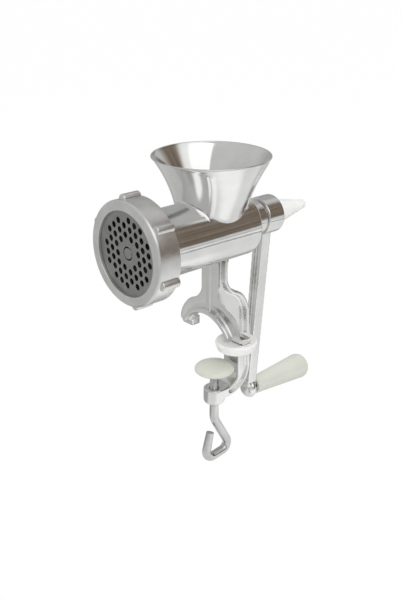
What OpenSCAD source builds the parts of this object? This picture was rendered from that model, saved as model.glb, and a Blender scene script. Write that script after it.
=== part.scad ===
// Manual meat grinder that clamps to a table edge.
// X runs from the outlet (negative) to the crank (positive), Y from the near side to the far side.
// The origin lies on the clamp screw's axis, level with the underside of the feet.

/* [Barrel] */
// Height of the barrel's axis above the table top
axis_h = 93; // [80:1:120]
// Outside diameter of the barrel
barrel_d = 54; // [50:1:60]
// Wall of the barrel round the feed screw
barrel_wall = 3.5; // [3:0.5:5]
// Distance of the outlet's front face ahead of the clamp screw
outlet_x = 92; // [84:1:110]
// Distance of the barrel's rear face behind the clamp screw
rear_x = 28; // [26:1:36]
// Thickness of the barrel's rear wall
rear_wall = 6; // [4:0.5:8]
// Radius on the barrel's rear edge
rear_round = 3; // [1:0.5:4]
// Diameter of the bearing collar behind the barrel
collar_d = 29; // [26:1:32]
// Length of the bearing collar
collar_len = 18.5; // [14:0.5:24]

/* [Outlet] */
// Diameter of the hole plate
plate_d = 69.8; // [66:0.2:74]
// Thickness of the hole plate
plate_t = 5; // [4:0.5:7]
// How far the plate stands out of its seat
plate_proud = 1.5; // [0.5:0.5:2.5]
// Diameter of a hole in the plate
hole_d = 4.8; // [3:0.2:5]
// Distance between neighbouring holes
hole_pitch = 7.2; // [6.6:0.1:8]
// Turn of the hole pattern
hole_turn = 20; // [0:0.5:60]
// Outside diameter of the ring nut
ring_d = 82.4; // [80:0.4:90]
// Width of the ring nut
ring_w = 20.5; // [18:0.5:26]
// Diameter of the ring nut's opening
ring_mouth_d = 66; // [60:0.5:67]
// Thickness of the ring nut's front lip
ring_lip = 3; // [2:0.5:5]
// Number of grip lugs on the ring nut
lug_count = 6; // [4:1:8]
// Diameter of a grip lug
lug_d = 7.5; // [6:0.5:9]
// How far a lug stands out of the ring nut
lug_proud = 3.6; // [2.5:0.1:4]
// Turn of the lugs
lug_turn = 38; // [0:1:60]
// Diameter of the barrel head's threaded rim
head_d = 75.6; // [74:0.2:78]
// Depth of the knife's chamber
chamber_len = 8.5; // [7:0.5:12]
// Diameter of the knife's chamber
chamber_d = 66; // [60:1:67]
// Diameter of the plate's locating pin
key_d = 4; // [3:0.5:5]
// Depth of the locating pin in the head
key_depth = 4; // [3:0.5:6]

/* [Hopper] */
// Diameter of the hopper's rim
rim_d = 94; // [84:1:104]
// Height of the rim above the barrel's axis
rim_h = 60.7; // [52:0.1:75]
// Place of the hopper's centre along the barrel, ahead of the clamp screw
hopper_x = 4.7; // [0:0.1:8]
// Length of the throat along the barrel
throat_len = 52; // [46:1:54]
// Width of the throat across the barrel
throat_w = 47.4; // [42:0.2:48]
// Height of the throat's base above the barrel's axis
throat_h = 11; // [9:0.5:12]
// Hopper wall
hopper_wall = 3.2; // [2.5:0.1:4]
// How late the front and rear walls flare
flare_front = 2.4; // [1:0.1:3]
// How late the side walls flare
flare_side = 1.13; // [1:0.01:2]
// Squareness of the throat, where 2 is an ellipse
throat_square = 2.35; // [2:0.05:3.5]

/* [Feed screw] */
// Clearance between the flight and the barrel
flight_gap = 0.5; // [0.3:0.1:1]
// Distance along the axis of one turn of the flight
flight_pitch = 30; // [24:1:36]
// Diameter of the core at the rear
core_rear_d = 20; // [19:1:24]
// Diameter of the core at the front
core_front_d = 27; // [22:1:32]
// Width of the flight at its crest, as a share of a turn
crest_share = 0.13; // [0.08:0.01:0.2]
// Width of the flight at its root, as a share of a turn
root_share = 0.34; // [0.25:0.01:0.45]
// Diameter of the rear journal
journal_d = 18; // [16:1:19]
// Side of the square that drives the crank
drive_square = 12; // [10:0.5:13]
// Thickness of the thrust washer
thrust_t = 2; // [1:0.5:3]
// Diameter of the thrust washer
thrust_d = 36; // [30:1:42]

/* [Knife] */
// Side of the square that drives the knife
stud_square = 11; // [9:0.5:12]
// Diameter of the stud's pilot in the plate
pilot_d = 10.4; // [9:0.2:11]
// Depth of the stud in the feed screw
stud_depth = 14; // [10:1:20]
// Diameter over the knife's blades
knife_d = 62; // [56:1:64]
// Diameter of the knife's hub
knife_hub_d = 24; // [20:1:28]
// Width of a blade at its tip
blade_w = 9; // [6:0.5:12]
// Number of blades
blade_count = 4; // [3:1:6]

/* [Crank] */
// Distance from the barrel's axis to the grip's axis
crank_r = 170.2; // [140:0.2:200]
// Swing of the crank to the far side as it stands
crank_swing = 4.6; // [0:0.1:30]
// Diameter of the crank's hub
hub_d = 32.4; // [28:0.4:36]
// Length of the crank's hub
hub_len = 17.5; // [14:0.5:22]
// Width of the arm
arm_w = 11; // [8:0.5:16]
// Width of the arm at the grip's eye
arm_eye_w = 9; // [7:0.5:14]
// Thickness of the arm
arm_t = 10; // [8:0.5:14]
// Depth of the channel in each face of the arm
channel_depth = 3; // [1.5:0.5:3.5]
// Width of the ribs beside the channel
channel_rib = 2.2; // [1.5:0.1:3]
// Diameter of the grip's eye
eye_d = 17.5; // [14:0.5:22]
// Thickness of the grip's eye
eye_t = 11; // [9:0.5:14]
// Length of the grip
grip_len = 66.5; // [60:0.5:90]
// Diameter of the grip beside the crank
grip_d = 15.6; // [14:0.2:22]
// Diameter of the grip at its end
grip_end_d = 24.2; // [17:0.2:26]
// Diameter of the grip's spindle
spindle_d = 8; // [6:0.5:10]
// Thickness of the washer between crank and grip
grip_washer_t = 1; // [0.8:0.1:2]

/* [Crank knob] */
// Diameter of the knob's base
knob_d = 28; // [24:0.5:31]
// Diameter of the cone above the knob's flared foot
knob_neck_d = 20.4; // [16:0.2:24]
// Length of the knob
knob_len = 41; // [30:1:50]
// Diameter of the knob's tip
knob_tip_d = 6.6; // [5:0.2:9]
// Diameter of the knob's stud
knob_stud_d = 8; // [6:0.5:8]
// Depth of the stud in the feed screw
knob_stud_depth = 14; // [12:1:20]
// Diameter of the washer in the hub's recess
knob_washer_d = 20; // [18:0.5:22]
// Thickness of that washer
knob_washer_t = 2; // [1.5:0.5:3]

/* [Stand and clamp] */
// Thickness of the plate that carries the feet
leg_t = 6; // [5:0.5:8]
// Width of the neck under the barrel
neck_w = 20.5; // [18:0.5:24]
// Width over both feet
feet_w = 74.4; // [70:0.4:84]
// Height of the shelf over the arch
shelf_h = 24.5; // [23:0.5:27]
// Radius of the shelf's top
shelf_r = 33; // [30:0.5:35]
// Depth of the shelf in front of the plate
shelf_depth = 6; // [4:0.5:8]
// Thickness of the shelf
shelf_t = 3.5; // [2.5:0.1:4]
// Height of the plate's lower edge above the table
plate_low = 4.5; // [3:0.5:6]
// Height of a foot
foot_h = 8; // [7:0.5:10]
// Length of a foot along the barrel
foot_len = 9; // [7:0.5:12]
// Width of a foot
foot_w = 13; // [10:0.5:14]
// Width of the clamp's spine
spine_w = 18.8; // [16:0.4:22]
// Thickness of the web between the plate and the rear rim
web_t = 8; // [6:0.5:12]
// Clear depth of the clamp behind the screw
throat_depth = 19.5; // [16:0.5:24]
// Thickness of the spine
spine_t = 12.5; // [10:0.5:16]
// Height of the lower arm's centre of curvature below the feet
bow_drop = 35; // [30:1:50]
// Diameter of the screw's boss
boss_d = 18.6; // [16:0.2:22]
// Height of the screw's boss
boss_h = 15; // [12:0.5:18]
// Depth of the grooves beside the rear rim
groove_depth = 2.2; // [1:0.1:3]
// Thickness of the rear rim
rim_t = 3.2; // [2.5:0.1:4]

/* [Foot pad] */
// Diameter of the foot pad
foot_pad_d = 35; // [32:0.5:38]
// Thickness of the foot pad under the foot
foot_pad_t = 5; // [3:0.5:7]
// Height of the foot pad's rim round the foot
foot_pad_rim = 3; // [2:0.5:4]
// How far the pad's centre lies inside the foot's
foot_pad_in = 5.5; // [0:0.5:7]

/* [Clamp screw] */
// Diameter of the clamp screw
screw_d = 8; // [6:0.5:9]
// Diameter of the clamp pad
pad_d = 34; // [28:0.5:40]
// Thickness of the clamp pad
pad_t = 8.5; // [7:0.5:11]
// Gap from the feet to the clamp pad as it stands
jaw_gap = 28.2; // [24:0.2:32]
// Depth of the screw's tip in the pad
tip_depth = 5; // [4:0.5:6]
// Depth of the handle's first bend below the feet
bend_drop = 82; // [80:1:96]
// Reach of the handle's knee
knee_out = 20; // [16:0.5:24]
// Drop from the first bend to the knee
knee_drop = 34.8; // [30:0.2:40]
// Reach of the handle's lower corner to the other side
corner_out = 11.2; // [9:0.2:14]
// Drop from the knee to the lower corner
corner_drop = 3.8; // [0:0.2:8]
// Reach of the handle's end
tip_out = 4.6; // [3:0.2:6]
// Rise from the lower corner to the handle's end
tip_rise = 26.4; // [22:0.2:28]
// Radius of the handle's tight bends
bend_r = 7; // [6:0.5:9]
// Radius of the handle's first bend
first_bend_r = 20; // [14:1:26]

/* [Clearances] */
// Running clearance round a shaft
run_gap = 0.05; // [0.02:0.01:0.1]
// Clearance between flat faces that turn on each other
face_gap = 0.3; // [0.2:0.05:0.6]
// Clearance round a screw thread, drawn as a plain cylinder
thread_gap = 0.3; // [0.25:0.05:0.5]
// Clearance of a piece laid in a pocket
seat_gap = 0.1; // [0.05:0.05:0.3]

/* [Hidden] */
$fn = 64;
eps = 0.01;
// How far a cutting solid runs past the face it cuts
cut = 1;

// Radii
barrel_r = barrel_d / 2;
bore_r = barrel_r - barrel_wall;
head_r = head_d / 2;
plate_r = plate_d / 2;
ring_r = ring_d / 2;
chamber_r = chamber_d / 2;
journal_r = journal_d / 2;
collar_r = collar_d / 2;
screw_r = screw_d / 2;
rim_r = rim_d / 2;
boss_r = boss_d / 2;
key_r = key_d / 2;

// Stations along the barrel, from the outlet to the crank
plate_front = -outlet_x + ring_lip;
plate_rear = plate_front + plate_t;
head_front = plate_front + plate_proud;
chamber_rear = plate_rear + chamber_len;
head_rear = chamber_rear + barrel_wall;
ring_rear = -outlet_x + ring_w;
knife_front = plate_rear + face_gap;
knife_rear = chamber_rear - face_gap;
bore_rear = rear_x - rear_wall;
thrust_front = bore_rear - thrust_t;
collar_rear = rear_x + collar_len;
hub_front = collar_rear + face_gap;
hub_rear = hub_front + hub_len;
hub_mid = (hub_front + hub_rear) / 2;
shaft_end = hub_rear - knob_washer_t - face_gap;
eye_rear = hub_mid + eye_t / 2;
grip_front = eye_rear + grip_washer_t;
grip_rear = grip_front + grip_len;
flight_r = bore_r - flight_gap;

// Stand and clamp, in the plane of the barrel's axis
leg_front = -leg_t;
leg_rib_t = 1.5;
leg_rib_w = 3;
wing_r = 24;
wing_y = feet_w / 2 - wing_r;
wing_z = 5;
neck_r = neck_w / 2;
neck_fillet = 12;
fillet_y = neck_r + neck_fillet;
fillet_z = wing_z + sqrt(pow(wing_r + neck_fillet, 2) - pow(fillet_y - wing_y, 2));
arch_lip = 0.8;
arch_r = shelf_r - shelf_t - arch_lip;
arch_z = shelf_h - shelf_r;
arch_h = arch_z + arch_r;
web_lift = 6;
web_toe = 14;
spine_top = -10;
web_low = spine_top - web_lift;
foot_toe = 3.5;
foot_x = foot_len / 2 - foot_toe;
foot_y = (feet_w - foot_w) / 2;
spine_rear = throat_depth + spine_t;
bow_in_r = 10;
bow_swell = 2;
bow_x = throat_depth - bow_in_r;
bow_r = spine_rear + bow_swell - bow_x;
arm_depth = 9;
arm_top = -bow_drop - bow_r + arm_depth;
boss_round = 4;
boss_bottom = arm_top - boss_h;
shoulder_r = 22;
shoulder_z = 13;
neck_back = 6;
back_fillet = 16;
back_x = neck_back + back_fillet;
back_z = shoulder_z + sqrt(pow(shoulder_r + back_fillet, 2) - pow(back_x - spine_rear + shoulder_r, 2));
flare_drop = 6;
flare_z = axis_h - barrel_r - flare_drop;

// Clamp screw
pad_top = -jaw_gap;
pad_bottom = pad_top - pad_t;
screw_top = pad_bottom + tip_depth;
handle = [
    [0, screw_top],
    [0, -bend_drop],
    [knee_out, -bend_drop - knee_drop],
    [-corner_out, -bend_drop - knee_drop - corner_drop],
    [-tip_out, -bend_drop - knee_drop - corner_drop + tip_rise]
];
handle_r = [0, first_bend_r, bend_r, bend_r, 0];

// Points of an arc about c, from angle a to angle b
function arc(c, r, a, b, n = 12) =
    [for (i = [0:n]) c + r * [cos(a + (b - a) * i / n), sin(a + (b - a) * i / n)]];

function sgn_pow(v, p) = sign(v) * pow(abs(v), p);

// Lays a solid drawn along Z on the barrel's axis
module on_axis(x = 0) {
    translate([x, 0, axis_h]) rotate([0, 90, 0]) children();
}

// A plain rod along the barrel's axis
module rod(x0, x1, r) {
    on_axis(x0) cylinder(r = r, h = x1 - x0);
}

// A square bar along the barrel's axis, turned with the crank
module square_bar(x0, x1, side) {
    translate([0, 0, axis_h])
        rotate([crank_swing, 0, 0])
            translate([x0, -side / 2, -side / 2])
                cube([x1 - x0, side, side]);
}

// A profile in the XZ plane, made w thick about the middle plane
module slab(w) {
    translate([0, w / 2, 0]) rotate([90, 0, 0]) linear_extrude(w) children();
}

// A profile in the YZ plane, from x0 to x1
module plate_x(x0, x1) {
    translate([x0, 0, 0]) rotate([90, 0, 90]) linear_extrude(x1 - x0) children();
}

// A stack of like rings of points, closed at both ends
module loft(rings) {
    n = len(rings[0]);
    m = len(rings);
    sides = [
        for (i = [0:m - 2], j = [0:n - 1])
            let (a = i * n + j, b = i * n + (j + 1) % n)
                each [[a, a + n, b + n], [a, b + n, b]]
    ];
    bottom = [for (j = [0:n - 1]) j];
    top = [for (j = [n - 1:-1:0]) (m - 1) * n + j];
    polyhedron([for (r = rings) each r], concat(sides, [bottom, top]));
}

// Hopper: a superellipse that grows from the throat, at share 0, to the round rim, at share 1
hopper_sides = 48;
hopper_rings = 9;

function hopper_half(base, flare, s) = base + (rim_r - base) * pow(s, flare);

function hopper_ring(s, inset) =
    let (
        p = 2 / (throat_square + (2 - throat_square) * s),
        a = hopper_half(throat_len / 2, flare_front, s) - inset,
        b = hopper_half(throat_w / 2, flare_side, s) - inset,
        z = axis_h + throat_h + (rim_h - throat_h) * s
    )
    [
        for (j = [0:hopper_sides - 1])
            let (t = 360 * (j + 0.5) / hopper_sides)
                [-hopper_x + a * sgn_pow(cos(t), p), b * sgn_pow(sin(t), p), z]
    ];

// The barrel's outside, for what is cut to sit on it
module barrel_form() {
    rod(-outlet_x, collar_rear, barrel_r);
}

module hopper_form(inset, over = 0) {
    rings = [for (i = [0:hopper_rings]) hopper_ring(i / hopper_rings, inset)];
    lid = [for (q = hopper_ring(1, inset)) q + [0, 0, over]];
    loft(over > 0 ? concat(rings, [lid]) : rings);
}

module hopper() {
    color("gainsboro")
        difference() {
            hopper_form(0);
            hopper_form(hopper_wall, cut);
            barrel_form();
        }
}

// Barrel, head, rear wall and bearing collar in one turned outline
module barrel() {
    color("silver")
        difference() {
            on_axis()
                rotate_extrude()
                    polygon(concat(
                        [[0, head_front], [head_r, head_front], [head_r, head_rear], [barrel_r, head_rear]],
                        arc([barrel_r - rear_round, rear_x - rear_round], rear_round, 0, 90, 6),
                        [[collar_r, rear_x], [collar_r, collar_rear], [0, collar_rear]]
                    ));
            rod(head_front - cut, plate_rear, plate_r + seat_gap);
            rod(plate_rear - cut, chamber_rear, chamber_r);
            rod(chamber_rear - cut, bore_rear, bore_r);
            rod(bore_rear - cut, collar_rear + cut, journal_r + run_gap);
            hopper_form(hopper_wall);
            plate_key_form(run_gap);
        }
}

// The pin half in the head's seat, half in the plate's notch
module plate_key_form(gap) {
    translate([0, 0, plate_r]) rod(head_front + seat_gap, plate_rear + key_depth, key_r + gap);
}

module plate_key() {
    color("dimgray") plate_key_form(0);
}

// Front view of the stand: neck, wings and the arch between the feet
module leg_outline() {
    difference() {
        union() {
            translate([-neck_r, arch_h]) square([neck_w, axis_h - arch_h]);
            intersection() {
                union() {
                    for (side = [-1, 1])
                        translate([side * wing_y, wing_z]) circle(wing_r);
                    translate([-wing_y, 0]) square([2 * wing_y, wing_z + wing_r]);
                }
                translate([-feet_w, plate_low]) square([2 * feet_w, axis_h]);
            }
            for (side = [0, 1])
                mirror([side, 0])
                    difference() {
                        polygon([
                            [0, fillet_z], [fillet_y, fillet_z],
                            [wing_y + (fillet_y - wing_y) * wing_r / (wing_r + neck_fillet),
                             wing_z + (fillet_z - wing_z) * wing_r / (wing_r + neck_fillet)],
                            [0, arch_h]
                        ]);
                        translate([fillet_y, fillet_z]) circle(neck_fillet);
                    }
        }
        translate([0, arch_z]) circle(arch_r, $fn = 128);
    }
}

// The shelf that follows the arch in front of the plate
module shelf_outline() {
    low = asin((foot_h - shelf_h + shelf_r) / shelf_r);
    centre = [0, arch_z];
    polygon(concat(
        arc(centre, shelf_r, low, 180 - low, 24),
        arc(centre, shelf_r - shelf_t, 180 - low, low, 24)
    ));
}

// Outer edge of the stand's back, from the barrel down to the screw's boss, set in by d
function back_edge(d = 0) =
    let (
        turn = atan2(back_z - shoulder_z, back_x - spine_rear + shoulder_r),
        flare_r = back_fillet + d
    )
    concat(
        arc([back_x, flare_z], flare_r, 145, 180, 6),
        arc([back_x, back_z], flare_r, 180, 180 + turn, 10),
        arc([spine_rear - shoulder_r, shoulder_z], shoulder_r - d, turn, 0, 10),
        arc([bow_x, -bow_drop], bow_r - d, 0, -90, 14),
        [[0, -bow_drop - bow_r + d]]
    );

function reversed(list) = [for (i = [len(list) - 1:-1:0]) list[i]];

// The strip along the back, from d0 to d1 inside the outer edge
module back_strip(d0, d1) {
    polygon(concat(back_edge(d0), reversed(back_edge(d1))));
}

// The spine and the bow under it
module spine_outline() {
    polygon(concat(
        [[throat_depth, spine_top], [throat_depth, -bow_drop]],
        arc([bow_x, arm_top + bow_in_r], bow_in_r, 0, -90, 10),
        [[0, arm_top], [0, -bow_drop - bow_r]],
        arc([bow_x, -bow_drop], bow_r, -90, 0, 14),
        [[spine_rear, spine_top]]
    ));
}

// The web between the plate and the rear rim, clear of the arch and let into the spine
module web_outline() {
    polygon(concat(
        [[-leg_t / 2, arch_h + web_lift], [-leg_t / 2, axis_h]],
        [for (q = back_edge(rim_t / 2)) if (q[1] > 0) q],
        [[spine_rear - rim_t / 2, web_low], [throat_depth + rim_t / 2, web_low]],
        [[throat_depth + rim_t / 2, 0], [web_toe, 0]]
    ));
}

module stand_casting() {
    plate_x(leg_front, 0) leg_outline();
    plate_x(leg_front - shelf_depth, leg_front + eps) shelf_outline();
    translate([leg_front - leg_rib_t, -leg_rib_w / 2, shelf_h - shelf_t / 2])
        cube([2 * leg_rib_t, leg_rib_w, axis_h - shelf_h]);
    for (side = [-1, 1])
        translate([foot_x - foot_len / 2, side * foot_y - foot_w / 2, 0])
            cube([foot_len, foot_w, foot_h]);
    slab(web_t) web_outline();
    slab(spine_w) back_strip(0, rim_t);
    difference() {
        slab(spine_w) spine_outline();
        for (side = [-1, 1])
            translate([0, side * (spine_w / 2 - groove_depth / 2), 0])
                slab(groove_depth + eps)
                    intersection() {
                        back_strip(rim_t, 2 * rim_t);
                        translate([boss_r, -axis_h]) square([axis_h, axis_h]);
                    }
    }
    translate([0, 0, boss_bottom])
        rotate_extrude()
            polygon(concat(
                [[0, 0]],
                arc([boss_r - boss_round, boss_round], boss_round, -90, 0, 8),
                [[boss_r, boss_h], [0, boss_h]]
            ));
}

module clamp_frame() {
    color("lightgray")
        difference() {
            stand_casting();
            barrel_form();
            translate([0, 0, boss_bottom - cut])
                cylinder(r = screw_r + thread_gap, h = boss_h + 2 * cut);
        }
}

// Soft cup on the near foot
module foot_pad() {
    cup_h = foot_pad_t + foot_pad_rim;
    cup_r = foot_pad_d / 2;
    taper = 2;
    edge = 1;
    color("whitesmoke")
        difference() {
            translate([foot_x, foot_pad_in - foot_y, -foot_pad_t])
                rotate_extrude()
                    polygon(concat(
                        [[0, 0], [cup_r - taper, 0]],
                        [[cup_r, cup_h - taper], [cup_r - edge, cup_h], [0, cup_h]]
                    ));
            translate([foot_x - foot_len / 2 - seat_gap, -foot_y - foot_w / 2 - seat_gap, 0])
                cube([foot_len + 2 * seat_gap, foot_w + 2 * seat_gap, foot_h]);
        }
}

// Feed screw: one flight that winds round a tapered core
flight_front = chamber_rear - face_gap;
shoulder_len = 6;
shoulder_rise = 3;
flight_rear = thrust_front - shoulder_len;
flight_len = flight_rear - flight_front;
flight_fade = 1 / 12;
flight_steps = 84;
flight_phases = [
    for (k = [-2:2]) k * crest_share / 4,
    for (k = [0:9]) root_share / 2 + (1 - root_share) * k / 9
];

function core_r(u) = (core_front_d + (core_rear_d - core_front_d) * u) / 2;

// The flight dies away at its rear end
function flight_rise(u) = min(1, (1 - u) / flight_fade);

// Radius at a phase of the turn, from -0.5 to 0.5 about the crest, at share u of the length
function screw_r_at(phase, u) =
    abs(phase) <= crest_share / 2 + eps
        ? core_r(u) + (flight_r - core_r(u)) * flight_rise(u)
        : core_r(u);

function screw_ring(u) =
    [
        for (phase = flight_phases)
            let (
                t = 360 * (phase + u * flight_len / flight_pitch),
                r = screw_r_at(phase, u)
            )
            [r * cos(t), r * sin(t), u * flight_len]
    ];

module feed_screw() {
    color("darkgray")
        difference() {
            union() {
                on_axis(flight_front)
                    loft([for (i = [0:flight_steps]) screw_ring(i / flight_steps)]);
                rod(flight_rear - cut, thrust_front, core_rear_d / 2 + shoulder_rise);
                rod(thrust_front - cut, collar_rear, journal_r);
                intersection() {
                    rod(collar_rear - cut, shaft_end, journal_r);
                    square_bar(collar_rear - cut, shaft_end, drive_square);
                }
            }
            rod(flight_front - cut, flight_front + stud_depth, stud_root_r + run_gap);
            rod(shaft_end - knob_stud_depth, shaft_end + cut, knob_stud_d / 2 + thread_gap);
        }
}

module thrust_washer() {
    color("ivory")
        difference() {
            rod(thrust_front, bore_rear - run_gap, thrust_d / 2);
            rod(thrust_front - cut, bore_rear + cut, journal_r + seat_gap);
        }
}

// Stud in the screw's front end: root, square for the knife, pilot in the plate
stud_root_share = 0.45;
stud_root_r = stud_square * stud_root_share;

module knife_stud() {
    color("gray") {
        rod(flight_front - cut, flight_front + stud_depth - cut, stud_root_r);
        square_bar(knife_front, flight_front, stud_square);
        rod(plate_front, knife_front + cut, pilot_d / 2);
    }
}

// One blade, seen from the front, with a straight cutting edge and a swept back
module blade_outline() {
    tip = knife_d / 2;
    hub = knife_hub_d / 2;
    chamfer = 1;
    heel = 3;
    polygon([
        [0, 0], [tip - chamfer, -chamfer], [tip, chamfer],
        [tip - chamfer, blade_w - 2 * chamfer], [hub + heel, hub - chamfer], [0, hub]
    ]);
}

module knife() {
    color("dimgray")
        difference() {
            translate([0, 0, axis_h])
                plate_x(knife_front, knife_rear)
                    union() {
                        circle(knife_hub_d / 2);
                        for (i = [0:blade_count - 1])
                            rotate(crank_swing + 360 * i / blade_count) blade_outline();
                    }
            square_bar(knife_front - cut, knife_rear + cut, stud_square + 2 * seat_gap);
        }
}

// Holes on a triangular grid, left out round the pilot and near the edge
row_count = 4;
hole_inner = hole_pitch * 1.5;
hole_outer = hole_pitch * 3.7;

module hole_plate() {
    color("slategray")
        difference() {
            rod(plate_front, plate_rear, plate_r);
            rod(plate_front - cut, plate_rear + cut, pilot_d / 2 + 2 * run_gap);
            for (i = [-row_count:row_count], j = [-row_count:row_count]) {
                p = hole_pitch * (i * [1, 0] + j * [cos(60), sin(60)]);
                if (norm(p) > hole_inner && norm(p) < hole_outer)
                    translate([0, 0, axis_h])
                        rotate([hole_turn, 0, 0])
                            translate([plate_front - cut, -p[0], p[1]])
                                rotate([0, 90, 0]) cylinder(d = hole_d, h = plate_t + 2 * cut);
            }
            plate_key_form(seat_gap);
        }
}

// Front view of the grip lugs, which reach into the ring's wall
module lug_outline(root_r) {
    difference() {
        for (i = [0:lug_count - 1])
            rotate(-lug_turn - 360 * i / lug_count)
                translate([-ring_r - lug_proud + lug_d / 2, 0])
                    circle(lug_d / 2);
        circle(root_r);
    }
}

module ring_nut() {
    edge = 2.5;
    lug_end = 1;
    thread_r = head_r + thread_gap;
    mouth_r = ring_mouth_d / 2;
    color("lightgray") {
        on_axis(-outlet_x)
            rotate_extrude()
                polygon(concat(
                    [[mouth_r, 0]],
                    arc([ring_r - edge, edge], edge, -90, 0, 6),
                    [[ring_r, ring_w], [thread_r, ring_w], [thread_r, ring_lip], [mouth_r, ring_lip]]
                ));
        translate([0, 0, axis_h])
            plate_x(-outlet_x + edge + lug_end, ring_rear - lug_end)
                lug_outline((ring_r + thread_r) / 2);
    }
}

// Crank, drawn hanging down and then swung to its place
module swung() {
    translate([0, 0, axis_h]) rotate([crank_swing, 0, 0]) children();
}

arm_root = 2;

module arm_outline(inset) {
    top = hub_d / 2 - arm_root;
    low = crank_r - eye_d / 2 + arm_root;
    polygon([
        [-arm_w / 2 + inset, -top - inset], [arm_w / 2 - inset, -top - inset],
        [arm_eye_w / 2 - inset, -low + inset], [-arm_eye_w / 2 + inset, -low + inset]
    ]);
}

module eye_bore(x0, x1, r) {
    swung()
        translate([x0, 0, -crank_r]) rotate([0, 90, 0]) cylinder(r = r, h = x1 - x0);
}

module crank_arm() {
    arm_front = hub_mid - arm_t / 2;
    color("silver")
        difference() {
            union() {
                rod(hub_front, hub_rear, hub_d / 2);
                swung() plate_x(arm_front, arm_front + arm_t) arm_outline(0);
                eye_bore(eye_rear - eye_t, eye_rear, eye_d / 2);
            }
            swung()
                for (x = [arm_front - cut, arm_front + arm_t - channel_depth])
                    plate_x(x, x + channel_depth + cut) channel_outline();
            square_bar(hub_front - cut, hub_rear + cut, drive_square + 2 * seat_gap);
            rod(shaft_end + face_gap, hub_rear + cut, knob_washer_d / 2 + seat_gap);
            eye_bore(eye_rear - eye_t - cut, eye_rear + cut, spindle_d / 2 + run_gap);
        }
}

// The channel stops short of the hub and the eye
module channel_outline() {
    stop = 1;
    intersection() {
        arm_outline(channel_rib);
        translate([-arm_w, -crank_r + eye_d / 2 + stop])
            square([2 * arm_w, crank_r - hub_d / 2 - eye_d / 2 - 2 * stop]);
    }
}

// Spindle riveted in the eye, with a head sunk in the grip's end
spindle_head_r = spindle_d / 2 + 2.5;
spindle_head_t = 2.5;
spindle_sunk = 4;

module grip_spindle() {
    head_x = grip_rear - spindle_sunk - spindle_head_t;
    color("gainsboro") {
        eye_bore(eye_rear - eye_t, head_x, spindle_d / 2);
        eye_bore(head_x, head_x + spindle_head_t, spindle_head_r);
    }
}

grip_washer_in = 1.5;

module grip_washer() {
    color("gainsboro")
        difference() {
            eye_bore(eye_rear, grip_front, grip_d / 2 - grip_washer_in);
            eye_bore(eye_rear - cut, grip_front + cut, spindle_d / 2 + seat_gap);
        }
}

// Grip: a slow taper with a rounded end, recessed for the spindle's head
module handle_grip() {
    end_r = grip_end_d / 2;
    dome = 6;
    edge = 1;
    recess = spindle_sunk + spindle_head_t + face_gap;
    color("ivory")
        swung()
            translate([grip_front, 0, -crank_r])
                rotate([0, 90, 0])
                    difference() {
                        rotate_extrude()
                            polygon(concat(
                                [[0, face_gap], [grip_d / 2 - edge, face_gap], [grip_d / 2, face_gap + edge]],
                                arc([end_r - dome, grip_len - dome], dome, 0, 90, 8),
                                [[0, grip_len]]
                            ));
                        cylinder(r = spindle_d / 2 + 2 * run_gap, h = grip_len + cut);
                        translate([0, 0, grip_len - recess])
                            cylinder(r = spindle_head_r + seat_gap, h = recess + cut);
                    }
}

module knob_washer() {
    color("silver")
        difference() {
            rod(shaft_end + face_gap, hub_rear, knob_washer_d / 2);
            rod(shaft_end, hub_rear + cut, knob_stud_d / 2 + seat_gap);
        }
}

knob_stud_grip = 18;
knob_stud_spare = 2;

module knob_stud() {
    color("gray")
        rod(shaft_end - knob_stud_depth + knob_stud_spare, hub_rear + knob_stud_grip, knob_stud_d / 2);
}

// Knob: a short flared foot that runs out into a long cone
module crank_knob() {
    tip_r = knob_tip_d / 2;
    flare = (knob_d - knob_neck_d) / 2;
    edge = 1;
    color("white")
        difference() {
            on_axis(hub_rear + face_gap)
                rotate_extrude()
                    polygon(concat(
                        [[0, 0], [knob_d / 2 - edge, 0], [knob_d / 2, edge]],
                        arc([knob_d / 2, 2 * edge + flare], flare, -90, -180, 6),
                        arc([0, knob_len - tip_r], tip_r, 10, 90, 6)
                    ));
            rod(hub_rear, hub_rear + knob_stud_grip, knob_stud_d / 2);
        }
}

// Clamp screw: one rod swept along the handle's line, with a true arc at each corner
rod_sides = 32;
bend_steps = 10;
last_leg = len(handle) - 2;

function leg_angle(i) =
    let (d = handle[i + 1] - handle[i])
    atan2(d[1], d[0]);

function turn_at(i) =
    let (t = leg_angle(i) - leg_angle(i - 1))
    t > 180 ? t - 360 : t < -180 ? t + 360 : t;

function ahead(a) = [cos(a), sin(a)];

function left_of(a) = [-sin(a), cos(a)];

// Points and directions along the bend at corner i
function bend_stations(i) =
    let (
        a0 = leg_angle(i - 1),
        r = sign(turn_at(i)) * handle_r[i],
        start = handle[i] - handle_r[i] * tan(abs(turn_at(i)) / 2) * ahead(a0),
        centre = start + r * left_of(a0)
    )
    [
        for (k = [0:bend_steps])
            let (a = a0 + turn_at(i) * k / bend_steps)
                [centre - r * left_of(a), a]
    ];

function rod_ring(station) =
    [
        for (j = [0:rod_sides - 1])
            let (
                t = 360 * j / rod_sides,
                q = station[0] + screw_r * cos(t) * left_of(station[1])
            )
            [q[0], -screw_r * sin(t), q[1]]
    ];

module clamp_screw() {
    stations = concat(
        [[handle[0], leg_angle(0)]],
        [for (i = [1:last_leg]) each bend_stations(i)],
        [[handle[last_leg + 1], leg_angle(last_leg)]]
    );
    color("gainsboro") loft([for (station = stations) rod_ring(station)]);
}

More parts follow.
